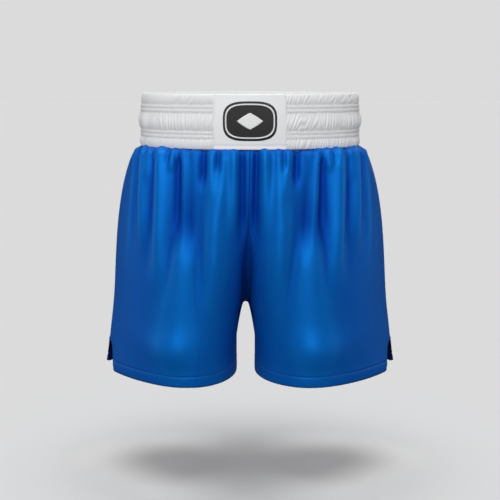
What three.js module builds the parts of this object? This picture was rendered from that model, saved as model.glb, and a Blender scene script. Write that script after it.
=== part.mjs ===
// Boxing shorts: white gathered waistband with a smooth front patch, blue satin body, side slits.
// Millimetres, +Z up. The front faces -Y and +X is the wearer's left.
// The origin is the middle of the waist opening, level with the waistband's top edge.
import * as THREE from 'three';

// Waistband
const WAIST_HALF_WIDTH = 178.5; // base line that every waistband layer is measured from
const WAIST_HALF_DEPTH = 121;
const BAND_HEIGHT = 86;
const TOP_STRIP = 17;
const CHANNEL = 6.3;
const MIDDLE_STRIP = 28;
const STITCH_ROWS = stitchRowHeights();
const CLOTH_FACE = 2.8; // outward from the base line to the outer cloth's stitched face
const CLOTH_THICKNESS = 1.2;
const MIDDLE_BULGE = 3.6;
const TOP_BULGE = 1.2;
const BOTTOM_BULGE = 1.6;
const ELASTIC_FACE = 1;
const ELASTIC_THICKNESS = 1.7;
const ELASTIC_INSET = 1.5; // the elastic is this much narrower than its strip, on each edge
const LINING_FACE = -1;
const LINING_THICKNESS = 1;
const BAND_COLUMNS = 36;

// Front patch and its emblem
const PATCH_WIDTH = 114;
const PATCH_COLUMNS = 8;
const INTERFACING_MARGIN = 4;
const BADGE_HALF_WIDTH = 42;
const BADGE_HALF_HEIGHT = 31;
const BADGE_MIDDLE = -42;
const BADGE_THICKNESS = 0.8;
const BADGE_CORNER = 3.2; // exponent of the badge's rounded outline
const BORDER_INSET = 5;
const BORDER_WIDTH = 2.2;
const LOZENGE_HALF_WIDTH = 20;
const LOZENGE_HALF_HEIGHT = 13;
const RAISED_THICKNESS = 0.5;

// Satin body
const BODY_LENGTH = 386; // waist seam to hem
const RISE_LENGTH = 268; // waist seam to crotch
const SLIT_LENGTH = 51;
const HEM_DEPTH = 18;
const SATIN_THICKNESS = 2;
const HEM_THICKNESS = 1.2;
const SIDE_SEAM_Y = 8;
const SIDE_SHOULDER = 9.5; // how far the gathers push the cloth out just below the band
const FRONT_SHOULDER = 8;
const BACK_SHOULDER = 9;
const SHOULDER_DROP = 5; // depth that the shoulder is reached in
const HIP_SPREAD = 38; // widening of each side over the hips
const HIP_DROP = 80;
const SIDE_SLOPE = 0.02;
const HEM_FLARE = 0.12;
const FLARE_START = 260;
const FRONT_TAPER = 16; // how much nearer the middle the hem hangs than the waist seam
const FRONT_TAPER_BEND = 1.2;
const BACK_TAPER = 10;
const SEAT_BULGE = 14;
const LEG_CREST_X = 93; // where each leg's cloth stands furthest forward
const CREST_DROP = 330;
const LEG_GAP_HALF = 15.5;
const ARCH_START = 2; // the leg gap is an arch that opens by this much at once
const ARCH_BEND = 1.15;
const ARCH_SLOPE = 0.08;
const RISE_DRIFT = -7.5; // the rise hangs this far off the middle at the crotch
const RISE_DRIFT_BEND = 1.5;
const RISE_BEND = 3.6; // how late the rise turns under to the crotch
const HIP_ROUNDNESS = 2.3; // exponent of the outer half of a level section at the hips
const HEM_FLATTENING = { [-1]: 0.9, 1: 0.3 }; // front and back: 1 is a plain bow at the hem
const FLATTENING_BEND = 1.3;
const SLIT_FRONT_IN = 12; // how far the slit's two edges part at the hem
const SLIT_FRONT_FORWARD = 10;
const SLIT_BACK_OUT = 2;
const SLIT_BACK_BACKWARD = 28;
const PANEL_COLUMNS = 12;
const PANEL_DEPTHS = [0, 4, 12, 28, 55, 95, 140, 180, 210, 232, 248, 260, RISE_LENGTH, 280, 305,
  BODY_LENGTH - SLIT_LENGTH, BODY_LENGTH - HEM_DEPTH, BODY_LENGTH];

// Seams, stitching and label
const GAP = 0.3; // between touching pieces
const THREAD = 0.7;
const SEAM_WIDTH = 3;
const SEAM_THICKNESS = 1.4;
const SETBACK = 1.2; // room behind the cloth's inner face, which bends between its columns
const SEAM_START = 12; // below the waist seam, clear of its overlock
const OVERLOCK_HEIGHT = 10;
const BARTACK = [1.2, 8, 2.4];
const LABEL_WIDTH = 40;
const LABEL_TOP = -22;
const LABEL_HEIGHT = 50;
const LABEL_THICKNESS = 0.5;

const FRONT = -1;
const BACK = 1;
const LEFT = 1;
const RIGHT = -1;
const LIFT = -BAND_HEIGHT - GAP; // height of the satin's top edge

const satin = { color: 0x07479e, roughness: 0.42, metalness: 0 };
const bandSatin = { color: 0xdfe1e4, roughness: 0.5, metalness: 0 };
const whiteThread = { color: 0xf2f3f4, roughness: 0.7, metalness: 0 };
const blueThread = { color: 0x0a3c8c, roughness: 0.7, metalness: 0 };
const elasticWebbing = { color: 0xe9e9e4, roughness: 0.85, metalness: 0 };
const blackThread = { color: 0x0b0b0d, roughness: 0.6, metalness: 0 };
const interfacingFelt = { color: 0xcfd0d0, roughness: 0.9, metalness: 0 };

const shorts = new THREE.Group();
const waistLine = new THREE.EllipseCurve(0, 0, WAIST_HALF_WIDTH, WAIST_HALF_DEPTH,
  -Math.PI / 2, 1.5 * Math.PI, false);
waistLine.arcLengthDivisions = 720;
const waistLength = waistLine.getLength();

function add(name, geometry, look) {
  const mesh = new THREE.Mesh(geometry, new THREE.MeshStandardMaterial(look));
  mesh.name = name;
  shorts.add(mesh);
  return mesh;
}

// Heights of the waistband's stitch rows: three close together, the wide strip, three more.
function stitchRowHeights() {
  const rows = [-TOP_STRIP];
  for (const step of [CHANNEL, CHANNEL, MIDDLE_STRIP, CHANNEL, CHANNEL]) {
    rows.push(rows[rows.length - 1] - step);
  }
  return rows;
}

// A box with a grid of cells on its broad faces, bent so that each corner goes where place() says.
// place(column, row, outside) counts columns along the piece and rows from the top down.
function bentBox(columns, rows, place) {
  const geometry = new THREE.BoxGeometry(1, 1, 1, columns, rows, 1);
  const position = geometry.attributes.position;
  const corner = new THREE.Vector3();
  for (let i = 0; i < position.count; i += 1) {
    corner.fromBufferAttribute(position, i);
    const column = Math.round((corner.x + 0.5) * columns);
    const row = Math.round((0.5 - corner.y) * rows);
    const point = place(column, row, corner.z > 0);
    position.setXYZ(i, point.x, point.y, point.z);
  }
  geometry.computeVertexNormals();
  return geometry;
}

// A closed ring turned from a profile, then bent so that each corner goes where place() says.
// place(share, point) gets the share of the way round and the profile's own point.
function bentRing(profile, segments, place) {
  const geometry = new THREE.LatheGeometry(profile, segments);
  const position = geometry.attributes.position;
  for (let i = 0; i < position.count; i += 1) {
    const turn = Math.floor(i / profile.length) % segments;
    const point = place(turn / segments, profile[i % profile.length]);
    position.setXYZ(i, point.x, point.y, point.z);
  }
  geometry.computeVertexNormals();
  return geometry;
}

// ---- Waistband ----

// A point by its share of the way round the waist from the front, its distance outward and its height.
function onWaist(share, outward, height) {
  const turn = ((share % 1) + 1) % 1;
  const point = waistLine.getPointAt(turn);
  const along = waistLine.getTangentAt(turn);
  return new THREE.Vector3(point.x + along.y * outward, point.y - along.x * outward, height);
}

const patchShare = PATCH_WIDTH / 2 / waistLength;
const gatheredStart = patchShare + GAP / 2 / waistLength;
const gatheredSpan = 1 - 2 * gatheredStart;

// A piece that runs round the sides and back, from one edge of the patch to the other.
function gatheredPiece(outsideProfile, insideProfile) {
  return bentBox(BAND_COLUMNS, outsideProfile.length - 1, (column, row, outside) => {
    const [outward, height] = (outside ? outsideProfile : insideProfile)[row];
    return onWaist(gatheredStart + gatheredSpan * column / BAND_COLUMNS, outward, height);
  });
}

function patchPiece(width, outsideProfile, insideProfile) {
  return bentBox(PATCH_COLUMNS, outsideProfile.length - 1, (column, row, outside) => {
    const [outward, height] = (outside ? outsideProfile : insideProfile)[row];
    return onWaist((column / PATCH_COLUMNS - 0.5) * width / waistLength, outward, height);
  });
}

// The waistband's full ring passes through the same stations as the patch and the gathered pieces.
function ringShare(turn) {
  const segments = BAND_COLUMNS + PATCH_COLUMNS;
  const station = Math.round(turn * segments);
  if (station <= PATCH_COLUMNS) {
    return (2 * station / PATCH_COLUMNS - 1) * patchShare;
  }
  return gatheredStart + gatheredSpan * (station - PATCH_COLUMNS) / BAND_COLUMNS;
}

function waistRing(outward, thickness, top, bottom) {
  const profile = [[outward, bottom], [outward, top], [outward - thickness, top],
    [outward - thickness, bottom], [outward, bottom]].map(([r, z]) => new THREE.Vector2(r, z));
  return bentRing(profile, BAND_COLUMNS + PATCH_COLUMNS,
    (turn, point) => onWaist(ringShare(turn), point.x, point.y));
}

// Profile of a cloth that is folded over the top edge and puffs out between its stitch rows.
function coverProfile(inset, bulges) {
  const lip = LINING_FACE - LINING_THICKNESS;
  const profile = [[lip, -inset], [CLOTH_FACE - 1 - inset, -inset]];
  const edges = [-2, ...STITCH_ROWS, -BAND_HEIGHT];
  edges.slice(1).forEach((bottom, strip) => {
    const top = edges[strip];
    const bulge = bulges[strip] || 0;
    const steps = bulge ? 3 : 1;
    for (let step = 0; step < steps; step += 1) {
      const share = step / steps;
      profile.push([CLOTH_FACE - inset + bulge * Math.sin(Math.PI * share), top + (bottom - top) * share]);
    }
  });
  profile.push([CLOTH_FACE - inset, -BAND_HEIGHT]);
  return profile;
}

function makeWaistband() {
  const bulges = { 0: TOP_BULGE, 3: MIDDLE_BULGE, 6: BOTTOM_BULGE };
  const cover = gatheredPiece(coverProfile(0, bulges), coverProfile(CLOTH_THICKNESS, bulges));
  add('waistband_outer', cover, bandSatin);
  const liningTop = -CLOTH_THICKNESS - GAP;
  add('waistband_lining', waistRing(LINING_FACE, LINING_THICKNESS, liningTop, -BAND_HEIGHT), bandSatin);

  const strips = {
    elastic_top: [-2, STITCH_ROWS[0]],
    elastic_middle: [STITCH_ROWS[2], STITCH_ROWS[3]],
    elastic_bottom: [STITCH_ROWS[5], -BAND_HEIGHT],
  };
  for (const [name, [top, bottom]] of Object.entries(strips)) {
    const heights = [top - ELASTIC_INSET, bottom + ELASTIC_INSET];
    const outside = heights.map((height) => [ELASTIC_FACE, height]);
    const inside = heights.map((height) => [ELASTIC_FACE - ELASTIC_THICKNESS, height]);
    add(name, gatheredPiece(outside, inside), elasticWebbing);
  }

  STITCH_ROWS.forEach((height, index) => {
    const ends = [height + THREAD / 2, height - THREAD / 2];
    const outside = ends.map((end) => [CLOTH_FACE + GAP + THREAD, end]);
    const inside = ends.map((end) => [CLOTH_FACE + GAP, end]);
    add(`waistband_stitch_row_${index + 1}`, gatheredPiece(outside, inside), whiteThread);
  });
}

function makePatch() {
  const cover = patchPiece(PATCH_WIDTH, coverProfile(0, {}), coverProfile(CLOTH_THICKNESS, {}));
  add('front_patch', cover, bandSatin);
  const heights = [-INTERFACING_MARGIN, INTERFACING_MARGIN - BAND_HEIGHT];
  const outside = heights.map((height) => [ELASTIC_FACE, height]);
  const inside = heights.map((height) => [ELASTIC_FACE - ELASTIC_THICKNESS, height]);
  const width = PATCH_WIDTH - 2 * INTERFACING_MARGIN;
  add('patch_interfacing', patchPiece(width, outside, inside), interfacingFelt);
}

// ---- Emblem: a plain rounded badge with a border line and a lozenge ----

function onPatch(x, z, outward) {
  return onWaist(x / waistLength, outward, BADGE_MIDDLE + z);
}

// A plate on the patch whose half height is a function of the distance from its middle.
function plate(halfWidth, columns, face, thickness, halfHeight) {
  return bentBox(columns, 1, (column, row, outside) => {
    const x = halfWidth * (2 * column / columns - 1);
    const z = halfHeight(Math.abs(x)) * (row === 0 ? 1 : -1);
    return onPatch(x, z, outside ? face + thickness : face);
  });
}

function makeEmblem() {
  const face = CLOTH_FACE + GAP;
  const badge = plate(BADGE_HALF_WIDTH - 0.5, 18, face, BADGE_THICKNESS, (x) => (
    BADGE_HALF_HEIGHT * (1 - (x / BADGE_HALF_WIDTH) ** BADGE_CORNER) ** (1 / BADGE_CORNER)));
  add('emblem_badge', badge, blackThread);

  const raised = face + BADGE_THICKNESS + GAP;
  const profile = [[BORDER_WIDTH, 0], [BORDER_WIDTH, RAISED_THICKNESS], [0, RAISED_THICKNESS],
    [0, 0], [BORDER_WIDTH, 0]].map(([r, z]) => new THREE.Vector2(r, z));
  const border = bentRing(profile, 36, (turn, point) => {
    const angle = 2 * Math.PI * turn;
    const power = 2 / BADGE_CORNER;
    const inset = BORDER_INSET + BORDER_WIDTH - point.x;
    const round = (value) => Math.sign(value) * Math.abs(value) ** power;
    const x = (BADGE_HALF_WIDTH - inset) * round(Math.cos(angle));
    const z = (BADGE_HALF_HEIGHT - inset) * round(Math.sin(angle));
    return onPatch(x, z, raised + point.y);
  });
  add('emblem_border', border, whiteThread);

  const lozenge = plate(LOZENGE_HALF_WIDTH, 8, raised, RAISED_THICKNESS, (x) => (
    Math.max(0.5, LOZENGE_HALF_HEIGHT * (1 - x / LOZENGE_HALF_WIDTH))));
  add('emblem_lozenge', lozenge, whiteThread);
}

// ---- Satin body ----

// Share of the way down from one depth below the waist seam to another.
function share(depth, from, to) {
  return THREE.MathUtils.clamp((depth - from) / (to - from), 0, 1);
}

// Everything that shapes the body at one depth below the waist seam.
function bodyAt(depth, face) {
  const slit = share(depth, BODY_LENGTH - SLIT_LENGTH, BODY_LENGTH);
  const puff = 1 - Math.exp(-depth / SHOULDER_DROP);
  const flare = HEM_FLARE * Math.max(0, depth - FLARE_START);
  const spread = HIP_SPREAD * (1 - Math.exp(-depth / HIP_DROP)) + SIDE_SLOPE * depth + flare;
  const halfWidth = WAIST_HALF_WIDTH + CLOTH_FACE + SIDE_SHOULDER * puff + spread;
  const down = depth / BODY_LENGTH;
  const frontBow = FRONT_SHOULDER * puff - FRONT_TAPER * down ** FRONT_TAPER_BEND;
  const seat = SEAT_BULGE * Math.sin(Math.PI * down);
  const backBow = BACK_SHOULDER * puff + seat - BACK_TAPER * down;
  const bow = WAIST_HALF_DEPTH + CLOTH_FACE + (face === FRONT ? frontBow : backBow);
  const riseShare = share(depth, 0, RISE_LENGTH);
  const slitX = face === FRONT ? -SLIT_FRONT_IN : SLIT_BACK_OUT;
  const slitY = face === FRONT ? -SLIT_FRONT_FORWARD : SLIT_BACK_BACKWARD;
  return {
    outerX: halfWidth + slit * slitX,
    outerY: SIDE_SEAM_Y + face * GAP + slit * slitY,
    crestX: LEG_CREST_X * Math.sin(Math.PI / 2 * Math.min(1, depth / CREST_DROP)),
    crestY: face * bow,
    innerY: face * (GAP + (bow - GAP) * (1 - riseShare ** RISE_BEND)),
    innerX: GAP + legOpening(depth - RISE_LENGTH),
    drift: RISE_DRIFT * riseShare ** RISE_DRIFT_BEND,
    flatness: HEM_FLATTENING[face] * down ** FLATTENING_BEND,
  };
}

// Half the gap between the legs at a depth below the crotch.
function legOpening(below) {
  if (below <= 0) {
    return 0;
  }
  const arch = ARCH_START * (1 - Math.exp(-below)) + ARCH_BEND * Math.sqrt(below);
  return Math.min(LEG_GAP_HALF, arch + ARCH_SLOPE * below);
}

// One level section of a panel, from the rise or inseam round to the side seam.
class PanelSection extends THREE.Curve {
  constructor(side, face, depth) {
    super();
    this.side = side;
    this.at = bodyAt(depth, face);
  }

  getPoint(t, target = new THREE.Vector3()) {
    const { side, at } = this;
    const innerX = at.drift + side * at.innerX;
    const inner = t < 0.5;
    const flatness = inner ? 0 : at.flatness;
    const round = inner ? 1 : 2 / HIP_ROUNDNESS;
    const bend = round + (1 - round) * flatness;
    const across = Math.abs(Math.cos(Math.PI * t)) ** bend;
    const rise = Math.sin(Math.PI * t);
    const forward = (1 - flatness) * rise ** bend + flatness * rise ** 2;
    const endX = inner ? innerX : side * at.outerX;
    const endY = inner ? at.innerY : at.outerY;
    const crestX = side * Math.max(at.crestX, side * innerX);
    return target.set(crestX + (endX - crestX) * across, endY + (at.crestY - endY) * forward, 0);
  }
}

// Outer corners and outward directions of a panel on its grid of columns and rows.
function panelGrid(side, face) {
  const points = PANEL_DEPTHS.map((depth) => {
    const section = new PanelSection(side, face, depth).getSpacedPoints(PANEL_COLUMNS);
    section.forEach((point) => point.setZ(LIFT - depth));
    return section;
  });
  const last = PANEL_DEPTHS.length - 1;
  const outward = points.map((section, row) => section.map((point, column) => {
    const acrossFrom = section[Math.max(0, column - 1)];
    const across = section[Math.min(PANEL_COLUMNS, column + 1)].clone().sub(acrossFrom);
    const upFrom = points[Math.min(last, row + 1)][column];
    const up = points[Math.max(0, row - 1)][column].clone().sub(upFrom);
    const normal = across.cross(up).multiplyScalar(-side * face);
    if (row === 0 || row === last) {
      normal.z = 0;
    }
    if (column === PANEL_COLUMNS || (column === 0 && PANEL_DEPTHS[row] >= RISE_LENGTH)) {
      normal.y = 0;
    }
    if (column === 0 && side * normal.x > 0) {
      normal.x = 0;
    }
    return normal.normalize();
  }));
  return { points, outward };
}

// A layer of a panel between two depths behind its outer face, over a run of its rows.
function panelLayer(side, face, grid, rows, outerDepth, innerDepth) {
  const flip = side * face > 0;
  return bentBox(PANEL_COLUMNS, rows.length - 1, (column, row, outside) => {
    const at = flip ? PANEL_COLUMNS - column : column;
    const depth = outside ? outerDepth : innerDepth;
    return grid.points[rows[row]][at].clone()
      .addScaledVector(grid.outward[rows[row]][at], -depth);
  });
}

// A thread just outside the hem's stitch line, following the same columns as its panel.
function hemStitch(side, face, grid, row) {
  const flip = side * face > 0;
  return bentBox(PANEL_COLUMNS, 1, (column, edge, outside) => {
    const at = flip ? PANEL_COLUMNS - column : column;
    const point = grid.points[row][at].clone();
    point.addScaledVector(grid.outward[row][at], outside ? GAP + THREAD : GAP);
    point.z += edge === 0 ? THREAD / 2 : -THREAD / 2;
    return point;
  });
}

function makeBody() {
  const last = PANEL_DEPTHS.length - 1;
  const allRows = PANEL_DEPTHS.map((depth, row) => row);
  const hemBack = SATIN_THICKNESS + 2 * SETBACK;
  for (const [sideName, side] of [['left', LEFT], ['right', RIGHT]]) {
    for (const [faceName, face] of [['front', FRONT], ['back', BACK]]) {
      const place = `${faceName}_${sideName}`;
      const grid = panelGrid(side, face);
      add(`${place}_panel`, panelLayer(side, face, grid, allRows, 0, SATIN_THICKNESS), satin);
      const turnUp = panelLayer(side, face, grid, [last - 1, last], hemBack, hemBack + HEM_THICKNESS);
      add(`${place}_hem_turn_up`, turnUp, satin);
      add(`${place}_hem_stitch`, hemStitch(side, face, grid, last - 1), blueThread);
    }
  }
}

// ---- Seams ----

// A flat overlocked seam on the inside of the cloth. Each station has a point on the seam line,
// the direction into the garment and the direction across the seam.
function seam(stations) {
  const behind = SATIN_THICKNESS + SETBACK;
  return bentBox(1, stations.length - 1, (edge, row, outside) => {
    const { point, into, across } = stations[row];
    return point.clone()
      .addScaledVector(into, outside ? behind : behind + SEAM_THICKNESS)
      .addScaledVector(across, (edge - 0.5) * SEAM_WIDTH);
  });
}

// The panels' own row depths from one depth to another, so that a seam bends where its panels do.
function depthsBetween(from, to) {
  return PANEL_DEPTHS.filter((depth) => depth >= from && depth <= to);
}

function makeSideSeam(side) {
  const slitTop = BODY_LENGTH - SLIT_LENGTH;
  const stations = depthsBetween(SEAM_START, slitTop).map((depth) => ({
    point: new THREE.Vector3(side * bodyAt(depth, FRONT).outerX, SIDE_SEAM_Y, LIFT - depth),
    into: new THREE.Vector3(-side, 0, 0),
    across: new THREE.Vector3(0, side, 0),
  }));
  return seam(stations);
}

function makeInseam(side) {
  const hemTop = BODY_LENGTH - HEM_DEPTH;
  const stations = depthsBetween(RISE_LENGTH + SEAM_START, hemTop).map((row) => {
    const depth = Math.min(row, hemTop - SETBACK);
    const at = bodyAt(depth, FRONT);
    return {
      point: new THREE.Vector3(at.drift + side * (at.innerX + 1), 0, LIFT - depth),
      into: new THREE.Vector3(side, 0, 0),
      across: new THREE.Vector3(0, -side, 0),
    };
  });
  return seam(stations);
}

// The rise seam runs down the front, under the crotch and up the back as one seam.
function makeRiseSeam() {
  const line = [];
  for (const face of [FRONT, BACK]) {
    const depths = depthsBetween(SEAM_START, RISE_LENGTH);
    const half = depths.map((depth) => {
      const at = bodyAt(depth, face);
      return new THREE.Vector3(at.drift, at.innerY, LIFT - depth);
    });
    line.push(...(face === FRONT ? half : half.reverse()));
  }
  const stations = line.map((point, i) => {
    const from = line[Math.max(0, i - 1)];
    const along = line[Math.min(line.length - 1, i + 1)].clone().sub(from).setX(0).normalize();
    return {
      point,
      into: new THREE.Vector3(0, -along.z, along.y),
      across: new THREE.Vector3(1, 0, 0),
    };
  });
  return seam(stations);
}

function makeSeams() {
  for (const [sideName, side] of [['left', LEFT], ['right', RIGHT]]) {
    add(`${sideName}_side_seam`, makeSideSeam(side), blueThread);
    add(`${sideName}_inseam`, makeInseam(side), blueThread);
    const slitTop = bodyAt(BODY_LENGTH - SLIT_LENGTH, FRONT);
    const bartack = add(`${sideName}_slit_bartack`, new THREE.BoxGeometry(...BARTACK), blueThread);
    bartack.position.set(side * (slitTop.outerX + GAP + BARTACK[0]), SIDE_SEAM_Y,
      LIFT - BODY_LENGTH + SLIT_LENGTH + BARTACK[2]);
  }
  add('rise_seam', makeRiseSeam(), blueThread);
  const overlockTop = -BAND_HEIGHT - GAP;
  const overlock = waistRing(LINING_FACE, LINING_THICKNESS, overlockTop, overlockTop - OVERLOCK_HEIGHT);
  add('waist_seam_overlock', overlock, blueThread);
}

function makeCareLabel() {
  const face = LINING_FACE - LINING_THICKNESS - GAP;
  const columns = 4;
  const label = bentBox(columns, 1, (column, row, outside) => {
    const along = 0.5 + (column / columns - 0.5) * LABEL_WIDTH / waistLength;
    return onWaist(along, outside ? face : face - LABEL_THICKNESS, LABEL_TOP - row * LABEL_HEIGHT);
  });
  add('care_label', label, whiteThread);
}

makeWaistband();
makePatch();
makeEmblem();
makeBody();
makeSeams();
makeCareLabel();

export default shorts;
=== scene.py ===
"""Boxing shorts: gathered white waistband with a smooth front patch, and a blue satin body.

Sizes in the functions are millimetres; every mesh is brought to metres as it is finished.
The front faces -Y, +X is the wearer's left, and the origin is the middle of the waist opening.
"""
import math
import bmesh
import bpy
import numpy as np
from bpy.props import FloatProperty, FloatVectorProperty, IntProperty, PointerProperty
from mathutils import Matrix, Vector


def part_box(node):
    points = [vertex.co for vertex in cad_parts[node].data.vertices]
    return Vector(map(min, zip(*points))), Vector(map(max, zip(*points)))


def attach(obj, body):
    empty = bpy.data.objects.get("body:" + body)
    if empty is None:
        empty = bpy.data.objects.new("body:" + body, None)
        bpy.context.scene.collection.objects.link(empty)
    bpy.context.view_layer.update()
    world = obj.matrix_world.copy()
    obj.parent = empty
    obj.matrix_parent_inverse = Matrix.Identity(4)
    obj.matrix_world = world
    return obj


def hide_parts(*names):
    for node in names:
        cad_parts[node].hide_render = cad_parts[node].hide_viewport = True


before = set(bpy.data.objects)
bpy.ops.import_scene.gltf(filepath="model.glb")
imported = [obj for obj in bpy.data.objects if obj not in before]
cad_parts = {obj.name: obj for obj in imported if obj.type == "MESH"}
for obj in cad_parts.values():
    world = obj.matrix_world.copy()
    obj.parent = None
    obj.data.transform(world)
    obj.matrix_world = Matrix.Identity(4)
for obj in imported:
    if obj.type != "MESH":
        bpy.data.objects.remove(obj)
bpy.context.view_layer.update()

bl_info = {
    "name": "Boxing Shorts",
    "version": (1, 0, 0),
    "blender": (4, 5, 0),
    "location": "View3D > Sidebar > Shorts",
    "description": "Builds satin boxing shorts with a gathered elastic waistband",
    "category": "Object",
}

MM = 0.001
DECIMETRE = 100.0  # millimetres; a cloth map is in decimetres
FRONT, BACK = -1, 1
LEFT, RIGHT = 1, -1
SIDES = (("left", LEFT), ("right", RIGHT))
FACES = (("front", FRONT), ("back", BACK))

# Waistband, in millimetres, as on the frame
WAIST_HALF_WIDTH = 178.5
WAIST_HALF_DEPTH = 121.0
BAND_HEIGHT = 86.0
STITCH_ROWS = (-17.0, -23.3, -29.6, -57.6, -63.9, -70.2)
CLOTH_FACE = 2.8
LINING_FACE = -2.0
PATCH_HALF = 57.0
TOP_LEAN = 0.018  # how much narrower the band is at its top edge
# Satin body, in millimetres, as on the frame
BODY_TOP = -86.3
BODY_LENGTH = 386.0
RISE_LENGTH = 268.0
SLIT_LENGTH = 51.0
HEM_DEPTH = 18.0
SIDE_SEAM_Y = 8.0
LEG_CREST_X = 93.0
RISE_DRIFT = -7.5
SEAM_PULL = 24.0  # how far from the rise and inseam the cloth is drawn to them
VALLEY_DEPTH = 9.0  # how far the cloth sinks along the rise above the crotch
KNEE_DEPTH = 326.0  # where each front leg swells softly
KNEE_SWELL = 8.2
LEG_GAP_HALF = 15.5  # half the gap between the legs at the hem
# Studio, in metres, watts and degrees
FLOOR_Z = -0.647  # the shorts hang clear of the floor
FLOOR_TONE, FLOOR_GLOW = 0.792, 0.115
WALL_GLOW = 0.708
FLOOR_RADIUS, WALL_RADIUS, WALL_HEIGHT = 30.0, 29.9, 40.0
SOFTBOXES = (  # name, place, size, power
    ("key", (-0.25, -2.5, 0.65), 1.8, 46.0),
    ("left strip", (-1.9, 0.1, -0.1), 1.2, 5.5),
    ("right strip", (1.9, 0.1, -0.1), 1.2, 5.5),
    ("back fill", (0.3, 2.3, 0.5), 1.8, 20.0),
)
SOFTBOX_AIM = (0.0, 0.0, -0.25)
OVERHEAD_POWER, OVERHEAD_SPREAD = 2.0, 48.0
STUDIO_GLOW = 0.12
CAMERA_PLACE, CAMERA_TILT = (0.0, -1.75, 0.024), 9.37
LENS, SENSOR = 75.0, 36.0  # millimetres


# ---------------------------------------------------------------- settings

class ShortsSizes(bpy.types.PropertyGroup):
    """Sizes a maker would change"""
    panel_columns: IntProperty(name="Panel columns", description="Cells across one satin panel",
                               default=190, min=20, max=300)
    panel_rows: IntProperty(name="Panel rows", description="Cells down one satin panel",
                            default=150, min=20, max=300)
    satin_thickness: FloatProperty(name="Satin thickness",
                                   description="Thickness of the body cloth",
                                   default=0.0006, unit="LENGTH", subtype="DISTANCE")
    gather_height: FloatProperty(name="Gather height",
                                 description="Scale of the folds that fall from the waist seam",
                                 default=1.0, min=0.0, max=2.0)
    band_columns: IntProperty(name="Band columns",
                              description="Cells round the gathered waistband",
                              default=1000, min=100, max=1600)
    pucker_height: FloatProperty(name="Pucker height",
                                 description="Scale of the fine gathers in the waistband",
                                 default=1.0, min=0.0, max=2.0)
    stitch_length: FloatProperty(name="Stitch length", description="Length of one stitch",
                                 default=0.0026, unit="LENGTH", subtype="DISTANCE")


class ShortsColours(bpy.types.PropertyGroup):
    """Colours a maker would change"""
    satin: FloatVectorProperty(name="Satin", description="Body satin", subtype="COLOR", size=3,
                               min=0, max=1, default=(0.003, 0.150, 0.60))
    # The satin's colour where the most shade is painted, down in its creases.
    satin_painted_shade: FloatVectorProperty(name="Satin painted shade",
                                    description="Body satin down in its creases",
                                    subtype="COLOR", size=3, min=0, max=1,
                                    default=(0.001, 0.036, 0.37))
    satin_gloss: FloatVectorProperty(name="Satin gloss",
                                     description="Tint of the satin's reflections",
                                     subtype="COLOR", size=3, min=0, max=1,
                                     default=(0.06, 0.82, 1.0))
    band: FloatVectorProperty(name="Waistband", description="Waistband satin", subtype="COLOR",
                              size=3, min=0, max=1, default=(0.855, 0.86, 0.87))
    blue_thread: FloatVectorProperty(name="Blue thread", description="Hem and seam thread",
                                     subtype="COLOR", size=3, min=0, max=1,
                                     default=(0.012, 0.12, 0.48))
    badge: FloatVectorProperty(name="Badge", description="Badge embroidery thread",
                               subtype="COLOR", size=3, min=0, max=1,
                               default=(0.006, 0.006, 0.007))


def sizes():
    return bpy.context.scene.shorts_sizes


def colours():
    return bpy.context.scene.shorts_colours


# ---------------------------------------------------------------- materials

class Link:
    """A shader socket that arithmetic can be done on."""

    def __init__(self, paint, socket):
        self.paint = paint
        self.socket = socket

    def _math(self, operation, *values):
        return self.paint.node("ShaderNodeMath", {"operation": operation}, values)

    def __add__(self, other):
        return self._math("ADD", self, other)

    __radd__ = __add__

    def __sub__(self, other):
        return self._math("SUBTRACT", self, other)

    def __rsub__(self, other):
        return self._math("SUBTRACT", other, self)

    def __mul__(self, other):
        return self._math("MULTIPLY", self, other)

    __rmul__ = __mul__

    def clamp(self):
        """Keeps a value between 0 and 1."""
        return self._math("MINIMUM", self._math("MAXIMUM", self, 0.0), 1.0)


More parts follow.
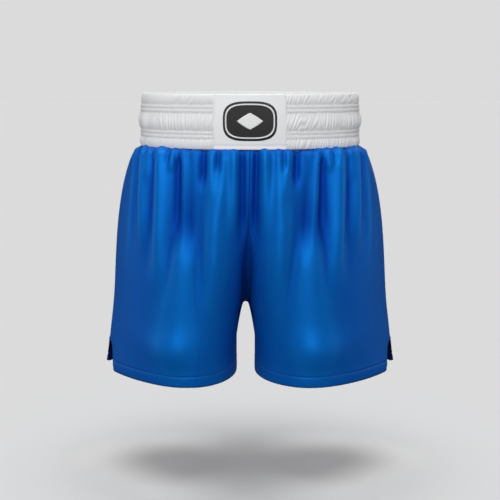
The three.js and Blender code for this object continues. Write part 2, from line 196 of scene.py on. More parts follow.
class Paint:
    """A material under construction: adds nodes and joins them."""

    def __init__(self, name):
        self.material = bpy.data.materials.new(name)
        self.material.use_nodes = True
        self.tree = self.material.node_tree
        self.shader = self.tree.nodes["Principled BSDF"]

    def node(self, kind, settings=None, values=(), output=0):
        """Adds one node, sets it up, then fills or joins its sockets."""
        node = self.tree.nodes.new(kind)
        for key, value in (settings or {}).items():
            setattr(node, key, value)
        pairs = values.items() if isinstance(values, dict) else enumerate(values)
        for key, value in pairs:
            self.fill(node.inputs[key], value)
        return Link(self, node.outputs[output])

    def fill(self, socket, value):
        """Joins a link to a socket, or sets the socket's own value."""
        if isinstance(value, Link):
            self.tree.links.new(value.socket, socket)
        else:
            socket.default_value = value

    def mix(self, factor, first, second):
        """Blends two colours."""
        first, second = (self._colour(c) for c in (first, second))
        return self.node("ShaderNodeMix", {"data_type": "RGBA"},
                         {0: factor, 6: first, 7: second}, 2)

    def _colour(self, value):
        return value if isinstance(value, Link) else (*value, 1.0)

    def uv(self):
        """The piece's own map: x across and y along the cloth, in decimetres."""
        return self.node("ShaderNodeUVMap", {"uv_map": "cloth"})

    def place(self):
        """Object coordinates, in metres."""
        return self.node("ShaderNodeTexCoord", output=3)

    def stretch(self, vector, scale, turn=(0.0, 0.0, 0.0)):
        """Places scaled along each axis and turned, so that a pattern runs one way."""
        return self.node("ShaderNodeMapping",
                         values={"Vector": vector, "Scale": scale, "Rotation": turn})

    def noise(self, vector, scale, detail=2.0):
        """Cloudy unevenness between 0 and 1."""
        return self.node("ShaderNodeTexNoise",
                         values={"Vector": vector, "Scale": scale, "Detail": detail})

    def bands(self, vector, scale, direction="X", distortion=0.0):
        """Parallel threads, as a wave between 0 and 1."""
        return self.node("ShaderNodeTexWave", {"bands_direction": direction},
                         {"Vector": vector, "Scale": scale, "Distortion": distortion}, 1)

    def bump(self, height, strength, distance):
        """Relief from a height, its distance in metres."""
        return self.node("ShaderNodeBump",
                         values={"Height": height, "Strength": strength, "Distance": distance})

    def finish(self, **inputs):
        """Puts values and links on the shader's own sockets."""
        for key, value in inputs.items():
            self.fill(self.shader.inputs[key.replace("_", " ")], value)
        return self.material


SATIN_RELIEF = (0.12, 0.0002)  # strength, and depth in metres
WARP_SCALE, SLUB_SCALE = (900.0, 26.0, 1.0), (60.0, 5.0, 1.0)
THREAD_PLY = 240.0  # turns of a sewing thread's twist


def toned(colour, share):
    """A darker or lighter shade of a colour."""
    return tuple(c * share for c in colour)


def satin_weave(paint, cloth):
    """Long floating threads down the cloth, slubs and a fine cross weave, as heights."""
    threads = paint.noise(paint.stretch(cloth, WARP_SCALE), 1.0, 3.0)
    slubs = paint.noise(paint.stretch(cloth, SLUB_SCALE), 1.0, 2.0)
    weave = paint.bands(cloth, 180.0, "X") * 0.5 + paint.bands(cloth, 120.0, "Y") * 0.5
    return threads, slubs, weave * 0.35 + threads * 0.5 + slubs * 0.4


def body_satin(name, bright, deep, roughness, metal, specular, tint):
    """Coloured satin with shade painted into its colour: the bright colour on its ridges is a
    painted highlight, the deep colour down in its creases is painted shade.
    """
    paint = Paint(name)
    cloth = paint.uv()
    threads, slubs, height = satin_weave(paint, cloth)
    # The shade painted on the mesh: 0 is a painted highlight, 1 painted shade; it also roughens the
    # creases a little.
    painted_shading = paint.node("ShaderNodeAttribute", {"attribute_name": "painted_shading"}, output=2)
    dye = paint.noise(cloth, 3.0)
    uneven = (threads - 0.5) * 0.30 + (slubs - 0.5) * 0.16 + (dye - 0.5) * 0.12
    colour = paint.mix((painted_shading + uneven).clamp(), tuple(bright), tuple(deep))
    gloss = roughness + (threads - 0.5) * 0.10 + (slubs - 0.5) * 0.06 + painted_shading * 0.08
    return paint.finish(Base_Color=colour, Roughness=gloss, Metallic=metal,
                        Normal=paint.bump(height, *SATIN_RELIEF),
                        Specular_IOR_Level=specular, Specular_Tint=(*tint, 1.0))


def band_satin(name, bright, deep):
    """White satin of the waistband, dulled by its close gathers; the smooth patch's copy is painted
    lighter, as light on cloth that no gathers shade.
    """
    paint = Paint(name)
    cloth = paint.uv()
    threads, slubs, height = satin_weave(paint, cloth)
    dye = paint.noise(cloth, 3.0)
    shade = (threads * 0.5 + slubs * 0.25 + dye * 0.25).clamp()
    gloss = 0.5 + (threads - 0.5) * 0.10 + (slubs - 0.5) * 0.06
    return paint.finish(Base_Color=paint.mix(shade, tuple(deep), tuple(bright)), Roughness=gloss,
                        Normal=paint.bump(height, *SATIN_RELIEF), Sheen_Weight=0.1,
                        Sheen_Roughness=0.4, Specular_IOR_Level=0.3)


def thread_paint(name, colour):
    """Twisted sewing thread."""
    paint = Paint(name)
    place = paint.place()
    skew = paint.stretch(place, (1.0, 1.0, 1.0), (0.4, 0.5, 0.3))
    twist = paint.bands(skew, THREAD_PLY, "DIAGONAL", 0.5)
    fuzz = paint.noise(place, 2500.0)
    tone = (twist * 0.6 + fuzz * 0.4).clamp()
    return paint.finish(Base_Color=paint.mix(tone, toned(colour, 0.72), tuple(colour)),
                        Roughness=0.55 + fuzz * 0.2, Sheen_Weight=0.2,
                        Normal=paint.bump(twist + fuzz * 0.3, 0.4, 0.0001))


def embroidery_paint(name, colour, turn):
    """Close satin stitch: parallel threads that catch the light together."""
    paint = Paint(name)
    cloth = paint.stretch(paint.uv(), (1.0, 1.0, 1.0), (0.0, 0.0, turn))
    threads = paint.bands(cloth, 42.0, "X", 0.6)
    uneven = paint.noise(paint.stretch(cloth, (60.0, 8.0, 1.0)), 1.0)
    lit = tuple(min(1.0, c * 1.25 + 0.004) for c in colour)
    tone = (threads * 0.6 + uneven * 0.5).clamp()
    return paint.finish(Base_Color=paint.mix(tone, tuple(colour), lit),
                        Roughness=0.38 + uneven * 0.22, Sheen_Weight=0.1,
                        Normal=paint.bump(threads + uneven * 0.4, 0.55, 0.00022))


def webbing_paint(name, colour):
    """Woven elastic: ribs round the waist and a coarse cross weave."""
    paint = Paint(name)
    cloth = paint.uv()
    ribs = paint.bands(cloth, 14.0, "Y")
    cross = paint.bands(cloth, 32.0, "X", 0.4)
    wear = paint.noise(cloth, 40.0, 3.0)
    tone = (ribs * 0.4 + cross * 0.3 + wear * 0.3).clamp()
    return paint.finish(Base_Color=paint.mix(tone, toned(colour, 0.8), tuple(colour)),
                        Roughness=0.75 + wear * 0.15,
                        Normal=paint.bump(ribs * 0.6 + cross * 0.4, 0.6, 0.0004))


def stage_paint(name, tone, glow):
    """Pale studio paper, partly lit from behind so that it stays even."""
    paint = Paint(name)
    grain = paint.noise(paint.place(), 90.0, 4.0)
    paper = (tone, tone, tone)
    return paint.finish(Base_Color=paint.mix(grain, toned(paper, 0.985), paper), Roughness=0.9,
                        Emission_Color=(1.0, 1.0, 1.0, 1.0), Emission_Strength=glow,
                        Specular_IOR_Level=0.0)


def materials():
    """The finishes, made once and kept by name."""
    if "Blue satin" in bpy.data.materials:
        return bpy.data.materials
    dye = colours()
    gloss = tuple(dye.satin_gloss)
    body_satin("Blue satin", dye.satin, dye.satin_painted_shade, roughness=0.53, metal=0.38, specular=0.5,
               tint=gloss)
    # The inside face is the satin's dull back (rougher, without gloss), painted much darker than the
    # satin as shade.
    painted_shade_reverse = toned(dye.satin_painted_shade, 0.4)
    body_satin("Blue satin reverse", painted_shade_reverse, painted_shade_reverse, roughness=0.7, metal=0.0, specular=0.1,
               tint=gloss)
    band = tuple(dye.band)
    band_satin("White satin", band, toned(band, 0.93))
    # The patch is the band's white satin painted lighter, as light on smooth cloth that no gathers
    # shade.
    band_satin("Smooth white satin", toned(band, 1.07), toned(band, 1.03))
    thread_paint("White thread", (0.84, 0.85, 0.86))
    thread_paint("Blue thread", tuple(dye.blue_thread))
    embroidery_paint("Black satin stitch", tuple(dye.badge), 0.0)
    embroidery_paint("White satin stitch", (0.82, 0.83, 0.84), math.pi / 2)
    webbing_paint("Elastic webbing", (0.78, 0.78, 0.75))
    webbing_paint("Interfacing felt", (0.62, 0.63, 0.64))
    webbing_paint("Label ribbon", (0.86, 0.86, 0.85))
    return bpy.data.materials


# ---------------------------------------------------------------- mesh help

MERGE_REACH = 0.00002  # metres


def sheet_mesh(points, cloth=None, painted_shading=None):
    """A grid of cloth whose corners go where points[row, column] says, in millimetres.

    cloth[row, column] is the corner's spot on the flat cloth, in decimetres, and the third grid is
    the shade painted into the colour at each corner, from 0 for a painted highlight on a fold's
    ridge to 1 for painted shade in a deep crease.
    """
    rows, columns = points.shape[0] - 1, points.shape[1] - 1
    bm = bmesh.new()
    bmesh.ops.create_grid(bm, x_segments=columns, y_segments=rows, size=1.0)
    mesh = bpy.data.meshes.new("cloth")
    bm.to_mesh(mesh)
    bm.clear()
    flat = np.empty(len(mesh.vertices) * 3)
    mesh.vertices.foreach_get("co", flat)
    column = np.rint((flat[0::3] + 1.0) / 2.0 * columns).astype(int)
    row = np.rint((1.0 - flat[1::3]) / 2.0 * rows).astype(int)
    mesh.vertices.foreach_set("co", (points[row, column] * MM).ravel())
    if cloth is not None:
        corner = np.empty(len(mesh.loops), dtype=np.int32)
        mesh.loops.foreach_get("vertex_index", corner)
        spots = cloth[row[corner], column[corner]]
        mesh.uv_layers.new(name="cloth").data.foreach_set("uv", spots.ravel())
    # Shade painted into the satin's colour, kept on the mesh as one value per corner.
    if painted_shading is not None:
        shade = mesh.attributes.new("painted_shading", "FLOAT", "POINT")
        shade.data.foreach_set("value", painted_shading[row, column])
    bm.from_mesh(mesh)
    bpy.data.meshes.remove(mesh)
    return bm


def flat_map(rows, columns, height, width):
    """A plain cloth map for a grid, in decimetres."""
    across, along = np.meshgrid(np.linspace(0.0, width, columns + 1),
                                np.linspace(0.0, height, rows + 1))
    return np.stack([across, along], axis=-1)


def close_up(bm):
    """Joins the edges of a rolled-up sheet, caps its ends and turns its faces outward."""
    bmesh.ops.remove_doubles(bm, verts=bm.verts, dist=MERGE_REACH)
    open_edges = [edge for edge in bm.edges if edge.is_boundary]
    if open_edges:
        bmesh.ops.holes_fill(bm, edges=open_edges, sides=0)
    bmesh.ops.recalc_face_normals(bm, faces=bm.faces)


def piece(name, bm, material, smooth=True):
    """Makes the object, gives it its finish and lets it ride on the shorts."""
    mesh = bpy.data.meshes.new(name)
    for face in bm.faces:
        face.smooth = smooth
    bm.to_mesh(mesh)
    bm.free()
    obj = bpy.data.objects.new(name, mesh)
    bpy.context.scene.collection.objects.link(obj)
    mesh.materials.append(materials()[material])
    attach(obj, "root")
    return obj


def back_cloth(obj):
    """Gives satin its thickness, with the dull side of the cloth inward, painted much darker than
    the satin as shade.
    """
    obj.data.materials.append(materials()["Blue satin reverse"])
    wall = obj.modifiers.new("cloth thickness", "SOLIDIFY")
    wall.thickness = sizes().satin_thickness
    wall.offset = -1.0
    wall.material_offset = 1


def smoothstep(low, high, value):
    """Rises from 0 at low to 1 at high, level at both ends."""
    share = np.clip((value - low) / (high - low), 0.0, 1.0)
    return share * share * (3.0 - 2.0 * share)


def soft_ramp(value, ease):
    """Zero below 0 and the value itself well above it, with a soft turn between."""
    return ease * math.log1p(math.exp(value / ease))


BEADS = 512  # random values that one ripple runs through


def ripple(x, seed):
    """Smooth wandering values between -1 and 1, the same for the same seed."""
    beads = np.random.default_rng(int(seed * 100) + 5000).uniform(-1.0, 1.0, BEADS)
    x = np.asarray(x, dtype=float)
    low = np.floor(x).astype(int)
    share = x - low
    share = share * share * (3.0 - 2.0 * share)
    return beads[low % BEADS] * (1.0 - share) + beads[(low + 1) % BEADS] * share


# ---------------------------------------------------------------- waistband shape

WAIST_STEPS = 4001
LEAN_START = -34.0  # height where the band starts to lean in


class WaistLine:
    """The waist's ellipse, walked by length from the middle of the front towards +X."""

    def __init__(self):
        turn = np.linspace(0.0, 2.0 * math.pi, WAIST_STEPS)
        x = WAIST_HALF_WIDTH * np.sin(turn)
        y = -WAIST_HALF_DEPTH * np.cos(turn)
        steps = np.hypot(np.diff(x), np.diff(y))
        self.turn = turn
        self.walk = np.concatenate([[0.0], np.cumsum(steps)])
        self.length = float(self.walk[-1])

    def at(self, distance, outward, height):
        """Places on the band, by distance round it, distance outward and height."""
        turn = np.interp(np.mod(distance, self.length), self.walk, self.turn)
        x, y = WAIST_HALF_WIDTH * np.sin(turn), -WAIST_HALF_DEPTH * np.cos(turn)
        nx, ny = WAIST_HALF_DEPTH * np.sin(turn), -WAIST_HALF_WIDTH * np.cos(turn)
        size = np.hypot(nx, ny)
        narrow = 1.0 - TOP_LEAN * smoothstep(LEAN_START, 0.0, np.asarray(height, float))
        x, y, z = np.broadcast_arrays((x + nx / size * outward) * narrow,
                                      y + ny / size * outward, height)
        return np.stack([x, y, z], axis=-1)


WAIST = WaistLine()

# Each strip of the band: top, bottom, how far it puffs out, its gathers' pitch and height.
STRIPS = (
    (-1.5, STITCH_ROWS[0], 1.4, 5.4, 2.3),
    (STITCH_ROWS[0], STITCH_ROWS[1], 1.0, 5.4, 1.0),
    (STITCH_ROWS[1], STITCH_ROWS[2], 1.0, 5.4, 1.0),
    (STITCH_ROWS[2], STITCH_ROWS[3], 3.0, 6.0, 3.1),
    (STITCH_ROWS[3], STITCH_ROWS[4], 1.1, 5.6, 1.2),
    (STITCH_ROWS[4], STITCH_ROWS[5], 1.1, 5.6, 1.2),
    (STITCH_ROWS[5], -BAND_HEIGHT, 1.8, 5.8, 2.3),
)
BAND_STEPS = (8, 6, 6, 13, 6, 6, 8)  # rows of cells down each strip
WIDE_STRIP, WIDE_SAG = 3, 1.35  # the puffed strip in the middle, and how low it hangs
STRIP_FULLNESS = 0.75
RIDGE_POWER = 0.8  # below 1 the gathers' ridges are rounder than their tucks
TUCK_PITCH = 0.57  # a second set of gathers, this share as close


def strip_puff(share, strip):
    """The strip's bulge: fullest below its middle, because the cloth sags."""
    sag = WIDE_SAG if strip == WIDE_STRIP else 1.0
    return np.sin(math.pi * share ** sag).clip(0.0, 1.0) ** STRIP_FULLNESS


def gather_wave(distance, share, strip, pitch):
    """Fine gathers: uneven ridges that lean a little and differ from strip to strip."""
    drift = 0.9 * ripple(distance / 34.0, strip + 1) + 0.75 * ripple(distance / 11.0, strip + 21)
    lean = (share - 0.5) * (0.9 + 1.4 * ripple(distance / 45.0, strip + 41))
    turn = math.pi * (distance / pitch + drift + lean)
    ridge = np.abs(np.cos(turn)) ** RIDGE_POWER
    tuck = np.abs(np.cos(TUCK_PITCH * turn + 1.0)) ** RIDGE_POWER
    depth = 0.85 + 0.35 * ripple(distance / 19.0, strip + 61)
    return (0.7 * ridge + 0.3 * tuck - 0.6) * depth


def band_face(distance, height):
    """How far the gathered cloth stands outward at each place on the band."""
    distance, height = np.broadcast_arrays(np.asarray(distance, float),
                                           np.asarray(height, float))
    outward = np.full(distance.shape, CLOTH_FACE)
    for strip, (top, bottom, puff, pitch, crest) in enumerate(STRIPS):
        share = np.clip((height - top) / (bottom - top), 0.0, 1.0)
        swell = strip_puff(share, strip)
        wave = gather_wave(distance, share, strip, pitch)
        held = 0.28 + 0.72 * np.minimum(1.0, swell * 1.15)
        face = CLOTH_FACE + puff * swell + crest * held * wave * sizes().pucker_height
        inside = (height <= top) & (height > bottom - 0.01)
        outward = np.where(inside, face, outward)
    return outward


def band_profile():
    """Heights down the outside of the band, closer together by the stitch rows."""
    heights = []
    for count, (top, bottom, *_rest) in zip(BAND_STEPS, STRIPS):
        for step in range(count):
            share = (1.0 - math.cos(math.pi * step / count)) / 2.0
            heights.append(top + (bottom - top) * (0.5 * share + 0.5 * step / count))
    return heights + [-BAND_HEIGHT]


def casing_points(face, heights, distances, lining_wave):
    """Closed sections of the folded band cloth: up the inside, over the top, down the outside."""
    inner = LINING_FACE + lining_wave
    flat = np.zeros_like(distances)
    loop = [(inner, -BAND_HEIGHT + 0.4), (inner, -60.0), (inner + 0.6, -44.0), (inner, -27.0),
            (inner, -8.0), (inner + 0.4, -1.4), (inner + 1.6, -0.2),
            (flat + CLOTH_FACE - 1.4, 0.2)]
    loop += [(face(distances, height), height) for height in heights]
    loop += [(flat + CLOTH_FACE - 0.8, -BAND_HEIGHT - 0.5), loop[0]]
    return np.stack([WAIST.at(distances, outward, height) for outward, height in loop])


# ---------------------------------------------------------------- satin body shape

# Folds that fall from the waist seam, in millimetres: distance from the middle at the top and at
# the end, start and end below the seam, width at the top and at the end, height
FRONT_FOLDS = (
    (24, 25, 0, 150, 8, 10, 4.6),
    (43, 46, 6, 120, 7, 10, 3.2),
    (60, 60, 0, 90, 7, 9, 3.8),
    (50, 54, 24, 300, 14, 22, 10.5),
    (106, 104, 8, 140, 6, 9, 3.6),
    (121, 124, 0, 40, 6, 7, 3.4),
    (142, 146, 0, 245, 12, 18, 7.6),
    (162, 164, 0, 60, 6, 8, 3.0),
    (172, 178, 0, 180, 8, 12, 5.0),
    (189, 202, 0, 230, 7, 12, 2.2),
    (98, 119, 95, 470, 21, 44, 7.0),
    (11, 9, 0, 170, 6, 9, -5.5),
    (51, 52, 0, 40, 4, 4, -3.6),
    (73, 72, 0, 70, 6, 8, -6.0),
    (94, 92, 30, 190, 8, 10, -5.6),
    (114, 115, 12, 175, 7, 10, -7.5),
    (131, 132, 0, 30, 4, 4, -3.0),
    (124, 128, 60, 260, 9, 12, -4.2),
    (78, 70, 60, 310, 10, 13, -4.6),
    (157, 160, 10, 220, 7, 10, -5.0),
    (182, 186, 0, 180, 6, 9, -2.4),
)
BACK_FOLDS = (
    (16, 18, 0, 150, 9, 15, 4.2),
    (46, 46, 0, 95, 8, 12, 3.6),
    (74, 72, 0, 230, 12, 22, 6.0),
    (98, 98, 0, 80, 7, 10, 3.4),
    (122, 122, 0, 150, 9, 17, 4.6),
    (146, 148, 0, 70, 8, 10, 3.6),
    (163, 168, 0, 230, 10, 20, 5.4),
    (181, 190, 0, 110, 8, 12, 3.6),
    (112, 116, 130, 470, 20, 32, 5.0),
    (60, 60, 20, 190, 7, 10, -3.4),
    (134, 136, 20, 200, 7, 10, -3.4),
)


# The body's larger shape, in millimetres
SEAM_PUFF_FADE = 5.0  # how soon the cloth stands out below the waist seam
SIDE_PUFF = 9.5
FRONT_PUFF, FRONT_FALL = 8.0, 16.0  # the front stands out at the seam and falls back by the hem
BACK_PUFF, SEAT_FULLNESS, BACK_FALL = 9.0, 14.0, 10.0
SPREAD, SPREAD_FADE, SPREAD_SLOPE = 38.0, 80.0, 0.02  # how the sides widen down to the hem
FLARE_START, FLARE_EASE, FLARE_SLOPE = 260.0, 18.0, 0.12
HELD_EASE = 10.0  # the front edge of a slit stops widening, this softly
SLIT_EASE = 12.0
SLIT_EDGE_Y = {FRONT: -10.0, BACK: 28.0}  # how far each edge of an open slit moves
SLIT_EDGE_X = {FRONT: 0.0, BACK: 2.0}
SIDE_FLATNESS = {FRONT: 0.9, BACK: 0.3}  # how flat the cloth falls to the side seam at the hem
CREST_END = 330.0  # depth where a leg's crest has moved out to its middle


def body_at(depth, face):
    """Everything that shapes the body at one depth below the waist seam."""
    below_slit = depth - (BODY_LENGTH - SLIT_LENGTH)
    slit = float(smoothstep(-SLIT_EASE, SLIT_LENGTH, below_slit))
    puff = 1.0 - math.exp(-depth / SEAM_PUFF_FADE)
    held = soft_ramp(below_slit, HELD_EASE) if face == FRONT else 0.0
    width_depth = depth - held
    flare = FLARE_SLOPE * soft_ramp(width_depth - FLARE_START, FLARE_EASE)
    spread = SPREAD * (1.0 - math.exp(-width_depth / SPREAD_FADE)) + SPREAD_SLOPE * width_depth
    spread += flare
    outer_x = WAIST_HALF_WIDTH + CLOTH_FACE + SIDE_PUFF * puff + spread
    down = depth / BODY_LENGTH
    if face == FRONT:
        bow = FRONT_PUFF * puff - FRONT_FALL * down ** 1.2
    else:
        bow = BACK_PUFF * puff + SEAT_FULLNESS * math.sin(math.pi * down) - BACK_FALL * down
    bow += WAIST_HALF_DEPTH + CLOTH_FACE
    rise = min(1.0, depth / RISE_LENGTH)
    return {
        "outer_x": outer_x + SLIT_EDGE_X[face] * slit,
        "outer_y": SIDE_SEAM_Y + slit * SLIT_EDGE_Y[face],
        "crest_x": LEG_CREST_X * math.sin(math.pi / 2.0 * min(1.0, depth / CREST_END)),
        "crest_y": face * bow,
        "inner_y": face * bow * (1.0 - rise ** 3.6),
        "inner_x": leg_opening(depth - RISE_LENGTH),
        "soft_y": face * bow * (1.0 - float(smoothstep(100.0, 365.0, depth))),
        "soft_x": LEG_GAP_HALF * float(smoothstep(190.0, 360.0, depth)),
        "drift": rise_drift(depth),
        "flatness": SIDE_FLATNESS[face] * down ** 1.3,
    }


def rise_drift(depth):
    """How far the rise has wandered from the middle at one depth."""
    return RISE_DRIFT * min(1.0, depth / RISE_LENGTH) ** 1.5


def leg_opening(below):
    """Half the gap between the legs: an arch that opens at once, then widens slowly."""
    if below <= 0.0:
        return 0.0
    arch = 2.0 * (1.0 - math.exp(-below)) + 1.15 * math.sqrt(below)
    return min(LEG_GAP_HALF, arch + 0.08 * below)


SECTION_STEPS = 361
SIDE_ROUNDING = 2.0 / 2.3  # fuller than an ellipse towards the side seam


def panel_section(side, face, depth, shares):
    """One level line of a panel, from the rise or inseam to the side seam, at equal shares."""
    at = body_at(depth, face)
    inner_x = at["drift"] + side * at["soft_x"]
    crest_x = side * max(at["crest_x"], side * inner_x)
    t = np.linspace(0.0, 1.0, SECTION_STEPS)
    inner = t < 0.5
    flatness = np.where(inner, 0.0, at["flatness"])
    rounding = np.where(inner, 1.0, SIDE_ROUNDING)
    bend = rounding + (1.0 - rounding) * flatness
    across = np.abs(np.cos(math.pi * t)) ** bend
    height = np.clip(np.sin(math.pi * t), 0.0, 1.0)
    forward = (1.0 - flatness) * height ** bend + flatness * height ** 2
    end_x = np.where(inner, inner_x, side * at["outer_x"])
    end_y = np.where(inner, at["soft_y"], at["outer_y"])
    x = crest_x + (end_x - crest_x) * across
    y = end_y + (at["crest_y"] - end_y) * forward
    walk = np.concatenate([[0.0], np.cumsum(np.hypot(np.diff(x), np.diff(y)))])
    across = shares * walk[-1]
    pulled = np.exp(-(across / SEAM_PULL) ** 2)
    x = np.interp(across, walk, x) + side * (at["inner_x"] - at["soft_x"]) * pulled
    y = np.interp(across, walk, y) + (at["inner_y"] - at["soft_y"]) * pulled
    return x, y, walk[-1]


FOLD_EASE, LATE_FOLD_EASE = 12.0, 110.0  # how slowly a fold rises at its upper end
LATE_FOLD = 20  # a fold that starts deeper than this is a late one


def fold_height(face, side, from_middle, across, depth):
    """Height of the falling folds along one level line."""
    height = np.zeros_like(across)
    folds = FRONT_FOLDS if face == FRONT else BACK_FOLDS
    for index, (top, end, start, stop, wide, wider, crest) in enumerate(folds):
        if depth > stop:
            continue
        down = min(1.0, max(0.0, (depth - start) / (stop - start)))
        wander = 1.2 * side * math.sin(index * 2.1 + depth / 60.0)
        wander += 1.6 * side * math.sin(index * 1.7)
        middle = np.interp(top + (end - top) * down + wander, from_middle, across)
        width = wide + (wider - wide) * down
        ease = FOLD_EASE if start < LATE_FOLD else LATE_FOLD_EASE
        rise_in = smoothstep(start - FOLD_EASE, start + ease, depth)
        fade = 1.0 - smoothstep(0.5, 1.0, down)
        height += crest * rise_in * fade * np.exp(-((across - middle) / width) ** 2)
    return height


PUCKERS = ((6.5, 1.5, 7.0), (11.0, 1.6, 22.0))  # pitch, height, how far down they fade


def pucker_height(side, face, across, depth):
    """Small tight puckers right at the waist seam, fine ones over broader ones."""
    seed = 3.0 * side + 11.0 * face
    height = 0.0
    for step, (pitch, crest, fade) in enumerate(PUCKERS):
        height = height + ripple(across / pitch, seed + 5.0 * step) * crest * math.exp(-depth / fade)
    return height


VALLEY_HALF = 19.0
KNEE_PLACE, KNEE_LENGTH = 116.0, 30.0
KNEE_INNER, KNEE_OUTER = 36.0, 46.0  # how far the knee's swell reaches to either side


def front_form(from_middle, across, depth):
    """The larger shape of the front: the valley at the rise and the knee's soft swell."""
    valley = VALLEY_DEPTH * smoothstep(60.0, 240.0, depth) * np.exp(-(across / VALLEY_HALF) ** 2)
    if depth > RISE_LENGTH:
        valley = valley * math.exp(-((depth - RISE_LENGTH) / 30.0) ** 2)
    place = from_middle - KNEE_PLACE
    reach = np.where(place < 0.0, KNEE_INNER, KNEE_OUTER)
    level = math.exp(-((depth - KNEE_DEPTH) / KNEE_LENGTH) ** 2)
    return KNEE_SWELL * (np.exp(-(place / reach) ** 2) * level) - valley


# Shade painted into the blue satin's colour, from 0, a painted highlight, to 1, painted shade.
FLAT_PAINTED_SHADE = 0.45  # the shade of cloth with no fold
FULL_FOLD = 8.5  # millimetres of fold for one whole step of shade
RISE_PAINTED_SHADE, INNER_LEG_PAINTED_LIGHT, KNEE_PAINTED_HIGHLIGHT = 0.25, 0.4, 0.5


def painted_crease_shading(face, from_middle, across, depth, folds):
    """Shade painted into the satin's colour at each place, from 0 to 1: painted shade in the folds'
    creases and along the rise, painted highlights on the folds' ridges, the inner leg and the knee.
    """
    shade = FLAT_PAINTED_SHADE - folds / FULL_FOLD
    # At the front: painted shade down the rise, painted light on the inner leg and a painted
    # highlight on the knee.
    if face == FRONT:
        rise = smoothstep(40.0, 230.0, depth) * np.exp(-(across / (9.0 + 0.05 * depth)) ** 2)
        leg = smoothstep(RISE_LENGTH - 60.0, RISE_LENGTH + 30.0, depth)
        inner = 1.0 - smoothstep(40.0, 82.0, from_middle)
        knee = math.exp(-((depth - KNEE_DEPTH + 14.0) / 24.0) ** 2)
        bright = np.exp(-((from_middle - 112.0) / 30.0) ** 2) * knee
        shade = shade + RISE_PAINTED_SHADE * rise - INNER_LEG_PAINTED_LIGHT * leg * inner - KNEE_PAINTED_HIGHLIGHT * bright
    return np.clip(shade, 0.0, 1.0)


def panel_depths(rows):
    """Depths of a panel's rows, closer together at the waist seam, the crotch and the hem."""
    steps = np.linspace(0.0, 1.0, rows + 1)
    even = BODY_LENGTH * (0.35 * steps + 0.65 * steps ** 1.5)
    near = np.array([-2.0, -1.0, 0.0, 0.4, 1.0, 1.8, 3.0, 4.6])
    hem_line = BODY_LENGTH - HEM_DEPTH
    fixed = np.concatenate([RISE_LENGTH + near, hem_line + np.arange(-3.0, 3.5, 1.0)])
    kept = even[np.min(np.abs(even[:, None] - fixed[None]), axis=1) > 0.5]
    return np.sort(np.concatenate([kept, fixed]))


PUCKER_END = 120.0
SEAM_DIP, SEAM_DIP_HALF = 1.0, 2.2
EDGE_HOLD, FREE_EDGE_HOLD, INNER_HOLD = 14.0, 30.0, 12.0  # where folds fade to a panel's edges
INNER_DIP, HEM_LINE_DIP = 0.8, 0.8
SLIT_STEP_IN, SLIT_STEP_REACH = 6.5, 14.0  # how the front edge of a slit draws in
HEM_CORNER_LIFT = 4.5


def panel_lift(face, length, depth, across, from_middle, folds, puckers):
    """How far one level line of a panel stands out, from its folds, seams, form and hem."""
    on_seam = depth < BODY_LENGTH - SLIT_LENGTH
    edge = length - across
    seam_dip = SEAM_DIP * np.exp(-(edge / SEAM_DIP_HALF) ** 2) if on_seam else 0.0
    hold = smoothstep(0.0, EDGE_HOLD if on_seam else FREE_EDGE_HOLD, edge)
    hold = hold * smoothstep(0.0, INNER_HOLD, across)
    lift = (folds + puckers) * hold - seam_dip
    if face == FRONT:
        lift += front_form(from_middle, across, depth)
    lift -= INNER_DIP * np.exp(-(across / 2.0) ** 2)
    above_hem = BODY_LENGTH - HEM_DEPTH - depth
    lift -= HEM_LINE_DIP * math.exp(-(above_hem / 1.1) ** 2)
    lift += 0.3 * math.exp(-((above_hem - 4.0) / 2.4) ** 2)
    lift += 0.4 * math.exp(-((above_hem + 9.0) / 7.0) ** 2)
    return lift


def panel_points(side, face):
    """Corner places of one satin panel, their distances across, their depths and the shade painted
    into their colour.
    """
    setting = sizes()
    thin = 1
    columns = setting.panel_columns // thin
    shares = np.linspace(0.0, 1.0, columns + 1)
    depths = panel_depths(setting.panel_rows // thin)
    x = np.zeros((len(depths), columns + 1))
    y, z, lift, across, painted_shading = (np.zeros_like(x) for _ in range(5))
    for row, depth in enumerate(depths):
        x[row], y[row], length = panel_section(side, face, float(depth), shares)
        z[row] = BODY_TOP - depth
        across[row] = shares * length
        from_middle = np.abs(x[row] - rise_drift(depth))
        folds = setting.gather_height * fold_height(face, side, from_middle, across[row], depth)
        painted_shading[row] = painted_crease_shading(face, from_middle, across[row], depth, folds)
        puckers = pucker_height(side, face, across[row], depth) if depth < PUCKER_END else 0.0
        lift[row] = panel_lift(face, length, depth, across[row], from_middle, folds, puckers)
    edge = across[:, -1:] - across
    if face == FRONT:
        below_slit = np.maximum(depths - BODY_LENGTH + SLIT_LENGTH, 0.0)[:, None]
        step_in = side * SLIT_STEP_IN * (1.0 - np.exp(-below_slit / 7.0))
        x -= step_in * np.exp(-(edge / SLIT_STEP_REACH) ** 2)
    above_end = z - BODY_TOP + BODY_LENGTH
    z += HEM_CORNER_LIFT * np.exp(-(edge / 9.0) ** 2) * np.exp(above_end / -9.0)
    points = np.stack([x, y, z], axis=-1)
    outward = face_out(points, side * face)
    outward[:, -1, 1] *= depths > BODY_LENGTH - SLIT_LENGTH
    outward[:, 0, 0] *= depths > RISE_LENGTH
    points += outward * lift[..., None]
    points[..., :2] += to_band(points[0, :, :2]) * np.exp(-depths / 3.0)[:, None, None]
    return points, across, depths, painted_shading


BAND_TUCK = 1.2  # outward from the waist line, so under the band's own cloth


def to_band(places):
    """How far each place at the top of a panel must move to tuck in under the band's edge."""
    ring = WAIST.at(np.linspace(0.0, WAIST.length, 3001), BAND_TUCK, BODY_TOP)[:, :2]
    apart = ring[None] - places[:, None]
    nearest = np.argmin(np.sum(apart ** 2, axis=-1), axis=1)
    return apart[np.arange(len(places)), nearest]


